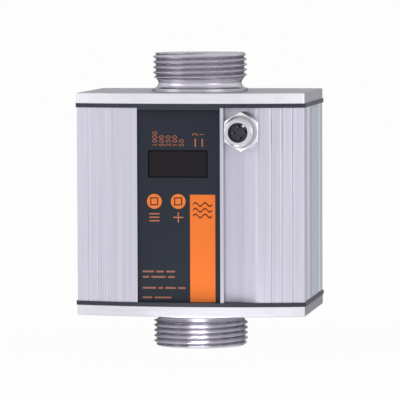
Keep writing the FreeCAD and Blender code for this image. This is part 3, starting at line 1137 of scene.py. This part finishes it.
    def waves(self) -> None:
        """Prints wave lines on the band."""
        marks = []
        for k in range(self.wave_count):
            z = self.wave_z + (k - (self.wave_count - 1) / 2) * self.wave_pitch
            middle = (self.wave_x, self.front - FILM, z)
            deselect()
            bpy.ops.mesh.primitive_grid_add(x_subdivisions=self.wave_steps, y_subdivisions=1, size=1.0,
                                            location=middle, rotation=FACING_FRONT)
            bpy.context.object.scale = (self.wave_width, self.wave_stroke, 1.0)
            line = newest("wave")
            shape(line, self.lift)
            marks.append(thicken(line))
        hand_over(join("band_waves", marks), BROWN, METER, self.slot)

    def lift(self, point: Vector) -> Vector:
        """Moves a point of a straight line to the wave."""
        turns = self.wave_turns * (point.x - self.wave_x) / self.wave_width
        return point + Vector((0.0, 0.0, self.wave_rise * math.sin(2 * math.pi * turns)))

    def small_lines(self) -> None:
        """Prints rows of short bars at the panel's lower left."""
        marks = []
        for z, lengths in self.small_rows:
            left = self.small_left
            for length in lengths:
                marks.append(self.bar(left + length / 2, z, length, self.small_height))
                left += length + self.small_gap
        hand_over(join("small_lines", marks), ORANGE_FINE, METER, self.slot)

    def rim(self) -> None:
        """Lays painted shade, a dark film, along the edge of the window's opening."""
        middle = (self.window_x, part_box("display_window")[0].y, self.window_z)
        rim = outline("painted_window_shade", middle, self.window_width, self.window_height, self.painted_window_shade)
        hand_over(rim, WINDOW_SHADE_FILM, METER, "window_tint")

    def build(self) -> None:
        """Prints everything on the panel and lays the painted shade along the window's edge."""
        self.rim()
        self.band()
        self.waves()
        self.numbers()
        self.signs()
        self.small_lines()


def key_middle(node: str) -> Vector:
    """Returns the middle of a key's front face."""
    low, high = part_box(node)
    return Vector(((low.x + high.x) / 2, low.y, (low.z + high.z) / 2))


@dataclass
class KeyMarks:
    """A square outline on each key cap."""

    size: float = 3.6 * MM
    stroke: float = 0.55 * MM
    keys: tuple[tuple[str, str], ...] = (("mode_key", "mode_button"), ("set_key", "set_button"))

    def build(self) -> None:
        """Prints the outline once for each key."""
        for node, body in self.keys:
            mark = outline(f"{node}_square", key_middle(node), self.size, self.size, self.stroke)
            hand_over(mark, BROWN, body, "key_orange")


def dress_nodes() -> None:
    """Gives every CAD node that stays its finish."""
    for name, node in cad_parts.items():
        finish = NODE_FINISHES[name].material()
        if not node.material_slots:
            node.data.materials.append(finish)
        for held in node.material_slots:
            held.material = finish
        LOG.info("%s: CAD node with finish %s", name, finish.name)


# Studio


@dataclass(frozen=True)
class Softbox:
    """A soft lamp.

    Attributes:
        name: the lamp's name.
        place: its middle.
        width: its width.
        height: its height.
        power: its power in watts.
        aim: the point that it faces.
    """

    name: str
    place: Place
    width: float
    height: float
    power: float
    aim: Place = (0.0, 0.0, 0.0)

    @classmethod
    def card(cls, name: str, x: float, y: float, width: float, height: float, power: float) -> "Softbox":
        """Makes a small bright card that lies just above the floor and faces up.

        Args:
            name: the card's name.
            x: X of its middle.
            y: Y of its middle.
            width: its width.
            height: its other side.
            power: its power in watts.

        Returns:
            The card.
        """
        return cls(name, (x, y, CARD_HEIGHT), width, height, power, aim=(x, y, 1.0))

    def build(self) -> None:
        """Hangs the lamp and points it."""
        data = bpy.data.lights.new(self.name, "AREA")
        data.shape = "RECTANGLE"
        data.size = self.width
        data.size_y = self.height
        data.energy = self.power
        lamp = bpy.data.objects.new(self.name, data)
        lamp.visible_camera = False
        bpy.context.scene.collection.objects.link(lamp)
        lamp.location = self.place
        lamp.rotation_euler = (Vector(self.aim) - Vector(self.place)).to_track_quat("-Z", "Y").to_euler()


@dataclass
class Studio:
    """Camera at the photograph's viewing angle, soft light, white surroundings and a pale floor."""

    camera_place: Place = (0.251682, -1.680019, 0.103282)
    camera_yaw: float = 0.148835
    camera_pitch: float = 0.061106
    camera_roll: float = -0.003539
    focal_pixels: float = 3826.66
    frame_pixels: float = 400.0
    sensor: float = 36.0
    fill_level: float = 0.80
    ceiling_low: float = 0.52
    ceiling_high: float = 0.84
    ceiling_level: float = 0.85
    floor_size: float = 60.0
    floor_tone: Tone = (250, 250, 250)
    floor_glow: float = 0.94
    softboxes: tuple[Softbox, ...] = (
        Softbox("left_softbox", (-1.99, -1.06, 0.6), width=1.4, height=2.2, power=8.0),
        Softbox("right_softbox", (0.66, -0.61, 0.13), width=0.56, height=0.4, power=0.6,
                aim=(0.0, 0.0, 0.13)),
        Softbox.card("table_bounce", 0.015, -0.09, width=0.1, height=0.06, power=0.017),
        Softbox.card("thread_bounce", 0.0028, -0.0267, width=0.0125, height=0.0125, power=0.0017),
        Softbox.card("thread_bounce_far", 0.0028, -0.044, width=0.026, height=0.022, power=0.0074),
    )

    def build(self) -> None:
        """Sets up the studio."""
        bpy.context.scene.view_settings.view_transform = "Standard"
        self.set_camera()
        for softbox in self.softboxes:
            softbox.build()
        self.set_world()
        self.lay_floor()

    def set_camera(self) -> None:
        """Places the camera and its lens."""
        yaw, pitch, roll = self.camera_yaw, self.camera_pitch, self.camera_roll
        ahead = Vector((-math.sin(yaw) * math.cos(pitch), math.cos(yaw) * math.cos(pitch), -math.sin(pitch)))
        level = Vector((math.cos(yaw), math.sin(yaw), 0.0))
        upright = level.cross(ahead)
        right = math.cos(roll) * level + math.sin(roll) * upright
        up = math.cos(roll) * upright - math.sin(roll) * level
        data = bpy.data.cameras.new("photo_camera")
        data.sensor_width = self.sensor
        data.lens = self.sensor * self.focal_pixels / self.frame_pixels
        data.clip_end = 2 * self.floor_size
        camera = bpy.data.objects.new("photo_camera", data)
        bpy.context.scene.collection.objects.link(camera)
        turn_matrix = Matrix((right, up, -ahead)).transposed().to_4x4()
        camera.matrix_world = Matrix.Translation(self.camera_place) @ turn_matrix
        bpy.context.scene.camera = camera

    def set_world(self) -> None:
        """Makes white walls, seen and mirrored, a plain level of light from them, and a darker ceiling."""
        world = bpy.data.worlds.new("white_room")
        bpy.context.scene.world = world
        world.use_nodes = True
        room = Wiring(world.node_tree)
        background = room.tree.nodes["Background"]
        background.inputs["Color"].default_value = (1.0, 1.0, 1.0, 1.0)
        walls = room.remap(room.seen_directly(), (0.0, 1.0), (self.fill_level, 1.0))
        direction = room.add("ShaderNodeTexCoord")
        parts = room.add("ShaderNodeSeparateXYZ")
        room.link(direction.outputs["Generated"], parts.inputs["Vector"])
        height = (self.ceiling_low, self.ceiling_high)
        ceiling = room.remap(parts.outputs["Z"], height, (1.0, self.ceiling_level))
        room.link(room.reckon("MULTIPLY", walls, ceiling), background.inputs["Strength"])

    def lay_floor(self) -> None:
        """Lays the pale floor that the meter stands on."""
        deselect()
        bpy.ops.mesh.primitive_plane_add(size=self.floor_size, location=(0.0, 0.0, CAD_BOX[0].z))
        floor = newest("floor")
        material = bpy.data.materials.new("pale_floor")
        material.use_nodes = True
        pale = Wiring(material.node_tree)
        pale.tree.nodes.clear()
        output = pale.add("ShaderNodeOutputMaterial")
        matt = pale.add("ShaderNodeBsdfDiffuse", Color=linear(self.floor_tone))
        glow = pale.add("ShaderNodeEmission")
        mix = pale.add("ShaderNodeMixShader")
        share = pale.remap(pale.seen_directly(), (0.0, 1.0), (0.0, self.floor_glow))
        for socket, source in zip(mix.inputs, (share, matt.outputs["BSDF"], glow.outputs["Emission"])):
            pale.link(source, socket)
        pale.link(mix.outputs["Shader"], output.inputs["Surface"])
        floor.data.materials.append(material)


def main() -> None:
    """Builds the pieces in order, dresses the CAD nodes and sets up the studio."""
    logging.basicConfig(level=logging.INFO, format="%(message)s")
    for assembly in (MeasuringTube(), PlugShell(), PanelPrint(), KeyMarks()):
        assembly.build()
    dress_nodes()
    Studio().build()


if __name__ == "__main__":
    main()
